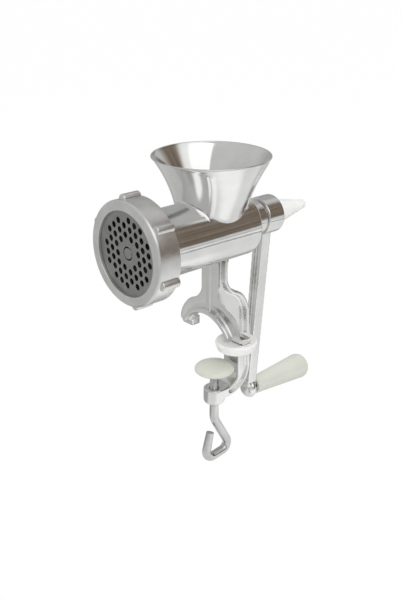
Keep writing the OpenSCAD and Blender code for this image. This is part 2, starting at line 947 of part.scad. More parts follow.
// Mushroom pad that the screw's tip turns in
module clamp_pad() {
    edge = 2.5;
    dome_r = (pow(pad_d / 2 - edge, 2) + pow(pad_t - 2 * edge, 2)) / (2 * (pad_t - 2 * edge));
    dome_turn = asin((pad_d / 2 - edge) / dome_r);
    color("ivory")
        difference() {
            translate([0, 0, pad_bottom])
                rotate_extrude()
                    polygon(concat(
                        [[0, 0]],
                        arc([pad_d / 2 - edge, edge], edge, -90, 90, 10),
                        arc([0, pad_t - dome_r], dome_r, 90 - dome_turn, 90, 10)
                    ));
            translate([0, 0, pad_bottom - cut])
                cylinder(r = screw_r + run_gap, h = tip_depth + cut);
        }
}

barrel();
hopper();
clamp_frame();
foot_pad();
plate_key();
feed_screw();
thrust_washer();
knife_stud();
knife();
hole_plate();
ring_nut();
crank_arm();
grip_spindle();
grip_washer();
handle_grip();
knob_washer();
knob_stud();
crank_knob();
clamp_screw();
clamp_pad();
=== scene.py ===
"""Looks of a table-clamp meat grinder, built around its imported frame.

Lengths in the classes are millimetres in the part's own frame: X runs from the outlet to the
crank, Y to the far side, Z up, with the origin on the clamp screw's axis level with the feet.
"""

import logging
import math
from dataclasses import dataclass, field
from enum import Enum
from functools import cache

import bmesh
import bpy
import numpy as np
from bpy.types import ID, Material, Mesh, Node, NodeSocket, NodeTree, Object, World
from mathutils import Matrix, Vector


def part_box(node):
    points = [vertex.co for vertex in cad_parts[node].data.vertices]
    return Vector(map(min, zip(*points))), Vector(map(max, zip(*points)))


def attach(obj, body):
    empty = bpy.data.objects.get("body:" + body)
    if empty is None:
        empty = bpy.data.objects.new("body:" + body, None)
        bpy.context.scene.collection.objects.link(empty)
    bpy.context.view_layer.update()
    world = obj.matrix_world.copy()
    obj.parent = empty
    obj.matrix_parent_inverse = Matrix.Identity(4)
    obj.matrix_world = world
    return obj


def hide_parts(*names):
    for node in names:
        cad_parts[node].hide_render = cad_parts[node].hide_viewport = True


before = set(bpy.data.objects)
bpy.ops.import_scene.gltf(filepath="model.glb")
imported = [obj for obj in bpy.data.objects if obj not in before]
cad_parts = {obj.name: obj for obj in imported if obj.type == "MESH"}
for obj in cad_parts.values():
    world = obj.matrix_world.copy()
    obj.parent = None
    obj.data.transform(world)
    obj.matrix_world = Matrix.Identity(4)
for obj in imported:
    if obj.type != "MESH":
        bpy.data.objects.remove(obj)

log = logging.getLogger("grinder")

Array = np.ndarray
Pair = tuple[float, float]
Triple = tuple[float, float, float]
Source = Node | NodeSocket

MM = 0.001
TAU = 2.0 * math.pi
QUARTER = math.pi / 2.0
TINY = 1e-9
LEAST_FILLET = 1e-6
STRAIGHT = 0.999999
ARC_STEPS = 8
SHARP_DEG = 40.0
MERGE_M = 2e-6
SLIVER_M = 1e-7
WEAR_SHARE = 0.5
NOISE_SPAN = (0.32, 0.68)
LINE_STRETCH = (0.04, 1.0, 1.0)
WHITE = (1.0, 1.0, 1.0, 1.0)

AXIS_Z = 93.0
BARREL_R = 27.0
BORE_R = 23.5
HOPPER_X = -4.7


class Axis(Enum):
    """The lines that turned pieces spin about: a point on the line, then along, across and up."""

    BARREL = ((0.0, 0.0, AXIS_Z), (1, 0, 0), (0, -1, 0), (0, 0, 1))
    GRIP = ((0.0, 13.65, -76.652), (1, 0, 0), (0, -1, 0), (0, 0, 1))
    SCREW = ((0.0, 0.0, 0.0), (0, 0, 1), (1, 0, 0), (0, 1, 0))

    def place(self, along: Array, radius: Array, angle: Array) -> Array:
        """Points at an angle round the line: c + along * a + radius * (cos t * u + sin t * v).

        Args:
            along: distance along the line.
            radius: distance from the line.
            angle: turn about the line, from across to up.

        Returns:
            An array of points, with the broadcast shape of the inputs and a last axis of 3.
        """
        centre, a, u, v = (np.array(part, float) for part in self.value)
        along, radius, angle = np.broadcast_arrays(along, radius, angle)
        ring = np.cos(angle)[..., None] * u + np.sin(angle)[..., None] * v
        return centre + along[..., None] * a + radius[..., None] * ring


class Slot(Enum):
    """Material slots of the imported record."""

    POLISHED = "polished_aluminium"
    TUMBLED = "tumbled_aluminium"
    PLATE = "plate_steel"
    PLATED = "plated_steel"
    WHITE = "white_plastic"
    IVORY = "ivory_plastic"


def low(node: str, axis: int) -> float:
    """Lower side of a CAD node's box along an axis, in millimetres."""
    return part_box(node)[0][axis] / MM


def high(node: str, axis: int) -> float:
    """Upper side of a CAD node's box along an axis, in millimetres."""
    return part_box(node)[1][axis] / MM


def metres(*lengths: float) -> tuple[float, ...]:
    """Lengths in millimetres as metres."""
    return tuple(length * MM for length in lengths)


def smooth_step(value: Array, start: float, end: float) -> Array:
    """Cubic ease from 0 at start to 1 at end: 3 t^2 - 2 t^3."""
    t = np.clip((value - start) / (end - start), 0.0, 1.0)
    return t * t * (3.0 - 2.0 * t)


def unit(vectors: Array) -> Array:
    """Vectors of length 1 along the last axis, and 0 where there is no length."""
    return vectors / np.maximum(np.linalg.norm(vectors, axis=-1, keepdims=True), TINY)


def rounded(corners: list[Triple], steps: int = ARC_STEPS) -> Array:
    """An outline, taken as closed, with a true arc of the given radius at each corner.

    The arc at a corner runs between the two points at r / tan(half) from it, about the centre
    at r / sin(half) on the bisector.

    Args:
        corners: along, radius and fillet of each corner.
        steps: arc points at each corner, less one.

    Returns:
        Points of the outline, steps + 1 for each corner.
    """
    data = np.array(corners, float)
    points, fillet = data[:, :2], np.maximum(data[:, 2], LEAST_FILLET)
    to_last = unit(np.roll(points, 1, 0) - points)
    to_next = unit(np.roll(points, -1, 0) - points)
    half = np.arccos(np.clip((to_last * to_next).sum(1), -STRAIGHT, STRAIGHT)) / 2.0
    centre = points + unit(to_last + to_next) * (fillet / np.sin(half))[:, None]
    cut = (fillet / np.tan(half))[:, None]
    start, end = (points + way * cut - centre for way in (to_last, to_next))
    span = (math.pi - 2.0 * half)[:, None, None]
    share = np.linspace(0.0, 1.0, steps + 1)[None, :, None]
    arc = np.sin((1.0 - share) * span) * start[:, None] + np.sin(share * span) * end[:, None]
    return (centre[:, None] + arc / np.sin(span)).reshape(-1, 2)


def grid_faces(rows: int, cols: int, wrap_rows: bool = True, wrap_cols: bool = True) -> Array:
    """Corner numbers of a grid's cells, row by row.

    Args:
        rows: points along the first parameter.
        cols: points along the second parameter.
        wrap_rows: join the last row to the first.
        wrap_cols: join the last column to the first.

    Returns:
        An array of four corner numbers for each cell.
    """
    i = np.arange(rows if wrap_rows else rows - 1)[:, None]
    j = np.arange(cols if wrap_cols else cols - 1)[None, :]
    i_next, j_next = (i + 1) % rows, (j + 1) % cols
    cells = [i * cols + j, i * cols + j_next, i_next * cols + j_next, i_next * cols + j]
    return np.stack(cells, -1).reshape(-1, 4)


def around(sides: int) -> Array:
    """Angles of points evenly round a circle."""
    return np.linspace(0.0, TAU, sides, endpoint=False)


def linked(name: str, data: ID) -> Object:
    """A new object in the scene for a mesh, a lamp or a camera."""
    bpy.context.scene.collection.objects.link(made := bpy.data.objects.new(name, data))
    return made


def settle(mesh: Mesh, sharp: float = SHARP_DEG) -> None:
    """Merges seams and poles, turns the faces outwards and shades the mesh smooth.

    Args:
        mesh: the mesh to finish.
        sharp: edges steeper than this many degrees stay sharp.
    """
    work = bmesh.new()
    work.from_mesh(mesh)
    bmesh.ops.remove_doubles(work, verts=work.verts, dist=MERGE_M)
    bmesh.ops.dissolve_degenerate(work, edges=work.edges, dist=SLIVER_M)
    bmesh.ops.recalc_face_normals(work, faces=work.faces)
    work.to_mesh(mesh)
    work.free()
    mesh.shade_smooth()
    mesh.set_sharp_from_angle(angle=math.radians(sharp))


def skin(name: str, points: Array, faces: Array, sharp: float = SHARP_DEG) -> Object:
    """An object from points in millimetres and faces of four corners.

    Args:
        name: the piece's name.
        points: an array whose last axis is x, y, z.
        faces: corner numbers into the flattened points.
        sharp: angle past which an edge stays sharp, in degrees.

    Returns:
        The linked object, at the origin.
    """
    mesh = bpy.data.meshes.new(name)
    mesh.from_pydata((points.reshape(-1, 3) * MM).tolist(), [], faces.tolist())
    settle(mesh, sharp)
    return linked(name, mesh)


def turned(
    name: str, outline: Array, axis: Axis, sides: int = 96, sharp: float = SHARP_DEG
) -> Object:
    """A solid of revolution from a closed outline of (along, radius) points.

    Args:
        name: the piece's name.
        outline: points of the outline, where radius 0 closes it on the axis.
        axis: the line it is turned about.
        sides: points round the axis.
        sharp: angle past which an edge stays sharp, in degrees.

    Returns:
        The linked object.
    """
    points = axis.place(outline[:, :1], np.maximum(outline[:, 1:], 0.0), around(sides)[None, :])
    return skin(name, points, grid_faces(len(outline), sides), sharp)


def softened(name: str, node: str, voxel: float, passes: int) -> Object:
    """A copy of a CAD node with cast edges: an even remesh whose corners are worn round.

    Args:
        name: the piece's name.
        node: the CAD node to copy.
        voxel: size of the remesh, in millimetres.
        passes: rounds of smoothing.

    Returns:
        The linked object, with its modifiers applied.
    """
    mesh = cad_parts[node].data.copy()
    mesh.materials.clear()
    settle(mesh)
    draft = linked(name, mesh)
    remesh = draft.modifiers.new("even", "REMESH")
    remesh.mode = "VOXEL"
    remesh.voxel_size = voxel * MM
    worn = draft.modifiers.new("worn", "SMOOTH")
    worn.factor = WEAR_SHARE
    worn.iterations = passes
    depsgraph = bpy.context.evaluated_depsgraph_get()
    made = bpy.data.meshes.new_from_object(draft.evaluated_get(depsgraph))
    draft.modifiers.clear()
    draft.data = made
    bpy.data.meshes.remove(mesh)
    made.name = name
    made.shade_smooth()
    return draft


def points_of(piece: Object) -> Array:
    """Points of a piece's mesh, in millimetres."""
    piece.data.vertices.foreach_get("co", flat := np.empty(3 * len(piece.data.vertices)))
    return flat.reshape(-1, 3) / MM


def set_points(piece: Object, points: Array) -> None:
    """Puts points in millimetres back into a piece's own mesh."""
    piece.data.vertices.foreach_set("co", (points * MM).ravel())
    piece.data.update()


@dataclass(frozen=True)
class NodeKit:
    """Short ways to add shader nodes to one tree and to join them."""

    tree: NodeTree

    @classmethod
    def blank(cls, owner: Material | World) -> "NodeKit":
        """Empties the node tree of a material or a world.

        Args:
            owner: the new material or world.

        Returns:
            A kit for its tree.
        """
        owner.use_nodes = True
        owner.node_tree.nodes.clear()
        return cls(owner.node_tree)

    def fill(self, socket: NodeSocket, value: object) -> None:
        """Links or sets a node's socket.

        Args:
            socket: the socket to fill.
            value: a socket, a node that gives its first open output, or a plain value.
        """
        if isinstance(value, Node):
            value = next(made for made in value.outputs if made.enabled)
        if isinstance(value, NodeSocket):
            self.tree.links.new(value, socket)
        else:
            socket.default_value = value

    def add(self, kind: str, *given: object, **values: object) -> Node:
        """Adds a shader node, sets its properties and fills its sockets.

        Args:
            kind: the node's type name, without its prefix.
            given: what goes into its first sockets, in their order.
            values: property names or, with underscores for spaces, socket names.

        Returns:
            The new node.
        """
        node = self.tree.nodes.new("ShaderNode" + kind)
        for name, value in values.items():
            if hasattr(node, name):
                setattr(node, name, value)
            else:
                self.fill(node.inputs[name.replace("_", " ")], value)
        for socket, value in zip(node.inputs, given):
            self.fill(socket, value)
        return node

    def spread(
        self, value: Source, limits: Pair, to: Pair = (0.0, 1.0), ease: str = "LINEAR"
    ) -> Node:
        """Maps a value from between two limits to between two numbers, and holds it there."""
        ends = dict(zip(("From_Min", "From_Max", "To_Min", "To_Max"), (*limits, *to)))
        return self.add("MapRange", Value=value, interpolation_type=ease, **ends)

    def mix(self, share: Source, first: object, second: object) -> Node:
        """Mixes two colours."""
        return self.add("Mix", data_type="RGBA", Factor=share, A=first, B=second)


@cache
def surface_marks() -> NodeTree:
    """Soft clouds, fine grain and a polishing wheel's lines, which are noise drawn out one way.

    Returns:
        The node group, which gives a mask, a height and lines, all from 0 to 1.
    """
    tree = bpy.data.node_groups.new("surface_marks", "ShaderNodeTree")
    for way, kind, labels in (
        ("INPUT", "NodeSocketVector", ("Point", "Drawn")),
        ("INPUT", "NodeSocketFloat", ("Clouds", "Grain", "Scale")),
        ("OUTPUT", "NodeSocketFloat", ("Mask", "Height", "Lines")),
    ):
        for label in labels:
            tree.interface.new_socket(label, in_out=way, socket_type=kind)
    kit = NodeKit(tree)
    given = tree.nodes.new("NodeGroupInput").outputs
    made = tree.nodes.new("NodeGroupOutput").inputs
    point, drawn = given["Point"], given["Drawn"]
    clouds = kit.add("TexNoise", Vector=point, Scale=given["Clouds"], Detail=5.0, Roughness=0.6)
    grain = kit.add("TexNoise", Vector=point, Scale=given["Grain"], Detail=3.0, Roughness=0.55)
    thin = kit.add("VectorMath", drawn, LINE_STRETCH, operation="MULTIPLY")
    lines = kit.add("TexNoise", Vector=thin, Scale=given["Scale"], Detail=4.0, Roughness=0.65)
    kit.fill(made["Mask"], kit.spread(clouds, NOISE_SPAN))
    kit.fill(made["Height"], grain)
    kit.fill(made["Lines"], lines)
    return tree


class Turning(Enum):
    """How the lines on a metal run."""

    ALONG_X = "x"
    ROUND_X = "rings"
    NONE = "none"


@dataclass(frozen=True)
class Finish:
    """One surface finish: its colours, its gloss and the marks on it."""

    slot: Slot
    light: Triple
    dark: Triple
    metallic: float
    gloss: Pair
    clouds: float
    relief: float
    grain: float = 700.0
    lines: Turning = Turning.NONE
    line_scale: float = 300.0
    coat: float = 0.0
    coat_gloss: float = 0.12
    relief_depth: float = 0.4

    @cache
    def material(self) -> Material:
        """Builds the material on the first call.

        Returns:
            The one material of this finish.
        """
        look = bpy.data.materials.new(self.slot.value + "_look")
        kit = NodeKit.blank(look)
        where = kit.add("TexCoord").outputs["Object"]
        marks = kit.add(
            "Group", node_tree=surface_marks(), Point=where, Drawn=self.drawn(kit, where),
            Clouds=self.clouds, Grain=self.grain, Scale=self.line_scale,
        ).outputs
        plain = self.lines is Turning.NONE
        height, depth = marks["Height" if plain else "Lines"], self.relief_depth * MM
        surface = kit.add(
            "BsdfPrincipled",
            Base_Color=kit.mix(marks["Mask"], (*self.dark, 1.0), (*self.light, 1.0)),
            Metallic=self.metallic,
            Roughness=kit.spread(marks["Mask" if plain else "Lines"], (0.0, 1.0), self.gloss),
            Normal=kit.add("Bump", Height=height, Strength=self.relief, Distance=depth),
            Coat_Weight=self.coat,
            Coat_Roughness=self.coat_gloss,
        )
        kit.add("OutputMaterial", surface)
        return look

    def drawn(self, kit: NodeKit, where: Source) -> Source:
        """Point that the lines follow, along the barrel or in rings about its axis.

        Args:
            where: the point on the object.

        Returns:
            The point, or its distance from the axis as a point.
        """
        if self.lines is not Turning.ROUND_X:
            return where
        axis = metres(*Axis.BARREL.value[0])
        centred = kit.add("VectorMath", where, axis, operation="SUBTRACT")
        apart = kit.add("VectorMath", centred, (0.0, 1.0, 1.0), operation="MULTIPLY")
        return kit.add("CombineXYZ", Y=kit.add("VectorMath", apart, operation="LENGTH"))


FINISHES = {made.slot: made for made in (
    Finish(
        Slot.POLISHED, (0.84, 0.84, 0.83), (0.76, 0.76, 0.755), 1.0, (0.07, 0.22), 45.0, 0.07,
        lines=Turning.ALONG_X,
    ),
    Finish(
        Slot.TUMBLED, (0.84, 0.84, 0.83), (0.70, 0.70, 0.69), 1.0, (0.26, 0.36), 70.0, 0.08,
        grain=1200.0,
    ),
    Finish(
        Slot.PLATE, (0.40, 0.40, 0.39), (0.32, 0.32, 0.31), 1.0, (0.30, 0.46), 90.0, 0.06,
        lines=Turning.ROUND_X, line_scale=1400.0,
    ),
    Finish(Slot.PLATED, (0.68, 0.685, 0.68), (0.55, 0.555, 0.55), 1.0, (0.12, 0.26), 120.0, 0.06),
    Finish(Slot.WHITE, (0.80, 0.795, 0.78), (0.77, 0.765, 0.75), 0.0, (0.34, 0.46), 60.0, 0.03),
    Finish(
        Slot.IVORY, (0.62, 0.625, 0.56), (0.59, 0.595, 0.53), 0.0, (0.28, 0.40), 50.0, 0.03,
        grain=600.0, coat=0.15,
    ),
)}


@dataclass
class Assembly:
    """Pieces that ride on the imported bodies."""

    pieces: list[Object] = field(default_factory=list, init=False)

    def take(self, piece: Object, slot: Slot, what: str) -> None:
        """Gives every face of a piece the finish of a slot, and lists and reports the piece.

        Args:
            piece: the new object or the kept CAD node.
            slot: its material slot.
            what: where it rides and what it stands for, for the report.
        """
        piece.data.materials.clear()
        piece.data.materials.append(FINISHES[slot].material())
        self.pieces.append(piece)
        log.info("%s %s, %d faces", piece.name, what, len(piece.data.polygons))

    def put(self, piece: Object, body: str, slot: Slot, *nodes: str) -> None:
        """Dresses a new piece and hangs it on its body in place of the nodes it stands for.

        Args:
            piece: the new object.
            body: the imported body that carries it.
            slot: its material slot.
            nodes: the CAD nodes that it replaces.
        """
        self.take(piece, slot, f"on {body} for {', '.join(nodes) or 'none'}")
        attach(piece, body)
        if nodes:
            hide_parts(*nodes)

    def keep(self, node: str, slot: Slot) -> None:
        """Keeps a CAD node as it is and gives it a finish."""
        self.take(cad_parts[node], slot, "kept")


@dataclass
class Hopper(Assembly):
    """The funnel: four bowed sides that grow from a squarish throat to a round rim."""

    rim_r: float = 47.0
    rim_z: float = 60.7
    throat_x: float = 26.0
    throat_y: float = 23.7
    throat_z: float = 11.0
    flare_x: float = 2.4
    flare_y: float = 1.13
    corner: float = 0.737
    corner_late: float = 0.3
    wall: float = 3.2
    rim_wall: float = 1.3
    rim_bulge: float = 0.8
    rim_points: int = 9
    bead: float = 0.3
    bead_rise: Pair = (0.94, 0.985)
    rib: float = 1.5
    rib_w: float = 1.3
    rib_fade: Pair = (0.86, 0.95)
    fillet_share: float = 0.05
    fillet_reach: Pair = (1.0, 2.4)
    fillet_steep: Pair = (12.0, 24.0)
    fillet_points: int = 8
    sunk_share: float = 0.94
    sunk_z: float = 1.5
    wear: float = 1.3
    wear_reach: int = 4
    side_points: int = 112
    tall_points: int = 56
    halvings: int = 40

    def point(self, s: Array, col: Array, inset: Array | float) -> Array:
        """Point of the funnel's wall at height share s in column col.

        Each side is an arc through the middles of the sides and corners at (c, c) on the
        diagonals, of radius R = ((1 - c)^2 + c^2) / (2 (1 - c)). At the rim c is sqrt(1/2), which
        makes the four arcs one circle; below it c grows, and the corners become creases with a rib
        of height h exp(-(d / w)^2) outside, at a distance d from the corner.

        Args:
            s: share of the height, 0 at the throat and 1 at the rim.
            col: column number.
            inset: distance in from the outside.

        Returns:
            Points, with a last axis of 3.
        """
        side, step = np.divmod(col, self.side_points)
        u = 2.0 * (step + 0.5) / self.side_points - 1.0
        share = np.clip(s, 0.0, 1.0)
        round_c = math.sqrt(0.5)
        c = round_c + (self.corner - round_c) * (1.0 - share) ** self.corner_late
        bow = ((1.0 - c) ** 2 + c**2) / (2.0 * (1.0 - c))
        swing = np.arcsin(np.clip(c / bow, -1.0, 1.0)) * u
        out, over = 1.0 - bow + bow * np.cos(swing), bow * np.sin(swing)
        turn = side * QUARTER
        half_x = self.throat_x + (self.rim_r - self.throat_x) * share**self.flare_x
        half_y = self.throat_y + (self.rim_r - self.throat_y) * share**self.flare_y
        away = (1.0 - np.abs(u)) * c * half_x
        rib = self.rib * np.exp(-((away / self.rib_w) ** 2))
        rib = rib * (1.0 - smooth_step(share, *self.rib_fade))
        inset = inset - rib * (np.asarray(inset) <= 0.0)
        x = HOPPER_X + (half_x - inset) * (out * np.cos(turn) - over * np.sin(turn))
        y = (half_y - inset) * (out * np.sin(turn) + over * np.cos(turn))
        z = AXIS_Z + self.throat_z + (self.rim_z - self.throat_z) * s
        return np.stack(np.broadcast_arrays(x, y, z), -1)

    def meeting(self, col: Array, radius: float, inset: float) -> Array:
        """Finds by halving where the wall meets a cylinder about the barrel's axis.

        Args:
            col: column numbers.
            radius: the cylinder's radius.
            inset: distance of the wall in from the outside.

        Returns:
            Share of the height for each column.
        """
        under, over = np.zeros(len(col)), np.ones(len(col))
        for _ in range(self.halvings):
            middle = (under + over) / 2.0
            p = self.point(middle, col, inset)
            inside = np.hypot(p[:, 1], p[:, 2] - AXIS_Z) < radius
            under, over = np.where(inside, middle, under), np.where(inside, over, middle)
        return over

    def fillet(self, foot: Array, above: Array, reach: Array) -> Array:
        """Rows of a fillet onto the barrel: (1-t)^2 above + 2 t (1-t) foot + t^2 far.

        Args:
            foot: where the wall meets the barrel.
            above: points of the wall over it.
            reach: how far along the barrel the far points lie, for each column.

        Returns:
            Rows of points, from the wall to the barrel.
        """
        along = np.roll(foot, -1, 0) - np.roll(foot, 1, 0)
        normal = foot * [0.0, 1.0, 1.0] - [0.0, 0.0, AXIS_Z]
        out = unit(np.cross(along, normal))
        heading = foot - [HOPPER_X, 0.0, 0.0]
        out *= np.sign((out[:, :2] * heading[:, :2]).sum(1, keepdims=True))
        far = foot + out * reach[:, None]
        far[:, 1:] = [0.0, AXIS_Z] + unit(far[:, 1:] - [0.0, AXIS_Z]) * BARREL_R
        t = np.linspace(0.0, 1.0, self.fillet_points)[:, None, None]
        return (1.0 - t) ** 2 * above + 2.0 * t * (1.0 - t) * foot + t**2 * far

    def worn(self, rows: Array) -> Array:
        """Smooths rows along themselves with weights exp(-k^2 / (2 w^2)).

        Args:
            rows: closed rows of points.

        Returns:
            The rows with their corners worn.
        """
        shift = np.arange(-self.wear_reach, self.wear_reach + 1)
        kernel = np.exp(-0.5 * (shift / self.wear) ** 2)
        return sum(w * np.roll(rows, k, 1) for k, w in zip(shift, kernel / kernel.sum()))

    def build(self) -> None:
        """Builds the closed shell: fillet, outer wall, rounded rim and inner wall in one loop."""
        col = np.arange(4 * self.side_points)
        rise = np.linspace(0.0, 1.0, self.tall_points)[:, None]
        foot_s = self.meeting(col, BARREL_R, 0.0)
        start = foot_s + self.fillet_share
        outer_s = start + (1.0 - start) * rise
        bead = self.bead * smooth_step(outer_s, *self.bead_rise)
        outer = self.point(outer_s, col[None, :], -bead)
        foot = self.point(foot_s, col, 0.0)
        steep = smooth_step(np.abs(foot[:, 0] - HOPPER_X), *self.fillet_steep)
        fillet = self.fillet(foot, outer[0], self.fillet_reach[0] + self.fillet_reach[1] * steep)
        sunk = fillet[-1] * [1.0, self.sunk_share, 1.0] - [0.0, 0.0, self.sunk_z]
        inner_low = self.meeting(col, BORE_R, self.wall)
        inner_s = inner_low + (1.0 - inner_low) * rise[::-1]
        wall = self.wall + (self.rim_wall - self.wall) * inner_s
        inner = self.point(inner_s, col[None, :], wall)
        t = np.linspace(0.0, math.pi, self.rim_points)[1:-1, None, None]
        middle, half = (outer[-1] + inner[0]) / 2.0, (outer[-1] - inner[0]) / 2.0
        lift = np.linalg.norm(half, axis=-1, keepdims=True) * [0.0, 0.0, self.rim_bulge]
        rim = middle + half * np.cos(t) + lift * np.sin(t)
        rows = self.worn(np.concatenate([sunk[None], fillet[::-1][:-1], outer, rim, inner]))
        shell = skin("hopper_shell", rows, grid_faces(len(rows), len(col)), sharp=60.0)
        self.put(shell, "body", Slot.POLISHED, "hopper")


@dataclass
class Barrel(Assembly):
    """The turned barrel with its head, bearing collar and the opening under the hopper."""

    front: float = low("barrel", 0)
    collar_end: float = high("barrel", 0)
    seat_depth: float = 3.5
    seat_edge: float = 0.3
    chamber_len: float = 8.5
    head_wall: float = 3.5
    bore_end: float = 22.0
    rear: float = 28.0
    head_r: float = 37.8
    seat_r: float = 35.0
    chamber_r: float = 33.0
    collar_r: float = 14.5
    journal_r: float = 9.05
    open_half: float = 25.2
    open_outer: float = 57.0
    open_inner: float = 63.0
    open_power: float = 2.4
    open_margin: float = 0.5
    stations: int = 60
    columns: int = 160

    def gap(self, x: Array, widest: float) -> Array:
        """Half angle of the opening at x: widest * (1 - |x|^n)^(1 / n), 0 past its ends."""
        share = np.clip(np.abs((x - HOPPER_X) / self.open_half), 0.0, 1.0)
        return math.radians(widest) * (1.0 - share**self.open_power) ** (1.0 / self.open_power)

    def build(self) -> None:
        """Builds the shell as rows along the outside and back along the bore, split at the top."""
        seat_end = self.front + self.seat_depth
        chamber_end = seat_end + self.chamber_len
        head_end = chamber_end + self.head_wall
        swing = np.linspace(-QUARTER, QUARTER, self.stations)
        slit = HOPPER_X + self.open_half * np.sin(swing)
        start, end = slit[0] - self.open_margin, slit[-1] + self.open_margin
        per_corner = ARC_STEPS + 1
        outer_front = rounded([
            (self.front, self.seat_r, self.seat_edge), (self.front, self.head_r, 0.6),
            (head_end, self.head_r, 0.8), (head_end, BARREL_R, 2.0),
            (start, BARREL_R, 0.0), (start, self.seat_r, 0.0),
        ])[:-per_corner]
        outer_rear = rounded([
            (end, 0.0, 0.0), (end, BARREL_R, 0.0), (self.rear, BARREL_R, 3.0),
            (self.rear, self.collar_r, 1.5), (self.collar_end, self.collar_r, 0.8),
            (self.collar_end, self.journal_r, 0.4), (self.bore_end, self.journal_r, 0.4),
            (self.bore_end, BORE_R, 0.5), (end, BORE_R, 0.0),
        ])[per_corner:]
        inner_front = rounded([
            (start, BORE_R, 0.0), (chamber_end, BORE_R, 0.4), (chamber_end, self.chamber_r, 0.4),
            (seat_end, self.chamber_r, 0.2), (seat_end, self.seat_r, 0.2),
            (self.front + self.seat_edge, self.seat_r, 0.0),
        ])
        outer_slit = np.c_[slit, np.full(self.stations, BARREL_R)]
        inner_slit = np.c_[slit[::-1], np.full(self.stations, BORE_R)]
        outline = np.concatenate([outer_front, outer_slit, outer_rear, inner_slit, inner_front])
        there = len(outer_front)
        back = there + self.stations + len(outer_rear)
        gap = np.zeros((len(outline), 1))
        gap[there : there + self.stations, 0] = self.gap(slit, self.open_outer)
        gap[back : back + self.stations, 0] = self.gap(slit[::-1], self.open_inner)
        share = np.linspace(0.0, 1.0, self.columns + 1)[None, :]
        angle = QUARTER + gap + (TAU - 2.0 * gap) * share
        points = Axis.BARREL.place(outline[:, :1], outline[:, 1:], angle)
        cols = self.columns + 1
        faces = grid_faces(len(outline), cols, wrap_cols=False)
        step = np.arange(self.stations - 1)
        first, last = there + step, back + self.stations - 1 - step
        walls = [
            np.stack([first, first + 1, last - 1, last], -1) * cols + j for j in (0, self.columns)
        ]
        shell = skin("barrel_shell", points, np.concatenate([faces, *walls]))
        self.put(shell, "body", Slot.POLISHED, "barrel")


@dataclass
class Stand(Assembly):
    """The cast leg with its feet, clamp spine and screw boss, and the soft pad on one foot."""

    lift: float = 3.0
    lift_from: Pair = (18.0, 34.0)
    lift_until: Pair = (42.0, 64.0)
    plate_t: float = 6.0
    slack: float = 0.6
    draft: float = 4.0
    wing: Triple = (13.2, 5.0, 24.0)
    hollow: Triple = (22.25, 39.84, 12.0)
    edge: Pair = (0.5, 7.0)
    over_at: Pair = (1.12, 1.42)
    foot_fade: Pair = (8.0, 13.0)

    def ease(self, casting: Object) -> None:
        """Draws the plate's edge in toward its rear, by draft * depth, along wings and neck.

        On a wing the distance from its centre shrinks. Over into a hollow the distance from the
        hollow's centre grows, measured level up the neck. Depth runs from 0 at the plate's front to
        1 at its rear. Last, the shoulders rise by lift, faded out to the feet and the barrel.

        Args:
            casting: the stand's own softened mesh.
        """
        x, y, z = points_of(casting).T
        half = np.abs(y)
        inside = (x > -self.plate_t - self.slack) * (x < self.slack)
        pull = self.draft * np.clip(x / self.plate_t + 1.0, 0.0, 1.0) * inside
        wing_y, wing_z, wing_r = self.wing
        wing = np.c_[half - wing_y, z - wing_z]
        out = np.hypot(*wing.T)
        over = smooth_step(np.arctan2(wing[:, 1], wing[:, 0]), *self.over_at)
        edge = smooth_step(out, wing_r - self.edge[1], wing_r - self.edge[0])
        edge = edge * smooth_step(z, *self.foot_fade)
        move = -wing * (pull * edge * (1.0 - over) / np.maximum(out, 1.0))[:, None]
        hollow_y, hollow_z, hollow_r = self.hollow
        hollow = np.c_[half - hollow_y, np.minimum(z - hollow_z, 0.0)]
        out = np.hypot(*hollow.T)
        edge = 1.0 - smooth_step(out, hollow_r + self.edge[0], hollow_r + self.edge[1])
        move += hollow * (pull * edge * over / np.maximum(out, 1.0))[:, None]
        half, z = half + move[:, 0], z + move[:, 1]
        fade = smooth_step(z, *self.lift_from) * (1.0 - smooth_step(z, *self.lift_until))
        set_points(casting, np.c_[x, np.sign(y) * half, z + self.lift * fade])

    def build(self) -> None:
        """Softens the casting's edges and the pad's, as sand and mould leave them."""
        casting = softened("clamp_casting", "clamp_frame", voxel=0.6, passes=13)
        self.ease(casting)
        self.put(casting, "body", Slot.POLISHED, "clamp_frame")
        cup = softened("foot_cup", "foot_pad", voxel=0.5, passes=6)
        self.put(cup, "body", Slot.WHITE, "foot_pad")
        self.keep("plate_key", Slot.PLATE)


